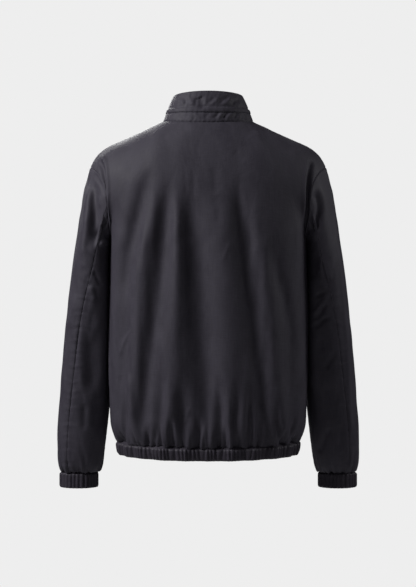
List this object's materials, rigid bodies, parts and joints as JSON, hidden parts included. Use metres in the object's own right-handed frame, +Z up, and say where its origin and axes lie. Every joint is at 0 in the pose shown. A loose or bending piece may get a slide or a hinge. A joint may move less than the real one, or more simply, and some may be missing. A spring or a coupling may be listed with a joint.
{
  "type": "windbreaker",
  "caption": "Zipped, unlined windbreaker with a stand collar and elastic hem and cuffs, hollow and filled out as worn.",
  "frame": {"origin": "middle of the neck base, level with the points where the shoulder seams meet the collar", "axes": "+Z up out of the collar, +X to the wearer's left, -Y out of the zipped front"},
  "size_m": [0.6122, 0.2536, 0.7887],
  "materials": {
    "shell_nylon": "softly satin nylon",
    "elastic_band": "matt ribbed elastic",
    "zip_tape": "matt woven tape",
    "zip_metal": "dark satin"
  },
  "bodies": {
    "jacket": {"back": "shell_nylon", "front_left": "shell_nylon", "front_right": "shell_nylon", "sleeve_top_left": "shell_nylon", "sleeve_top_right": "shell_nylon", "sleeve_under_left": "shell_nylon", "sleeve_under_right": "shell_nylon", "collar": "shell_nylon", "collar_welt": "shell_nylon", "hem_band": "elastic_band", "cuff_left": "elastic_band", "cuff_right": "elastic_band", "zip_tape_left": "zip_tape", "zip_tape_right": "zip_tape", "zip_slider": "zip_metal"},
    "zip_pull": {"zip_pull": "zip_metal"}
  },
  "joints": [
    {"name": "pull_hinge", "type": "hinge", "parent": "jacket", "child": "zip_pull", "pos_m": [0, -0.06864, -0.00654], "axis": [-1, 0, 0], "range_deg": [0, 150]}
  ]
}
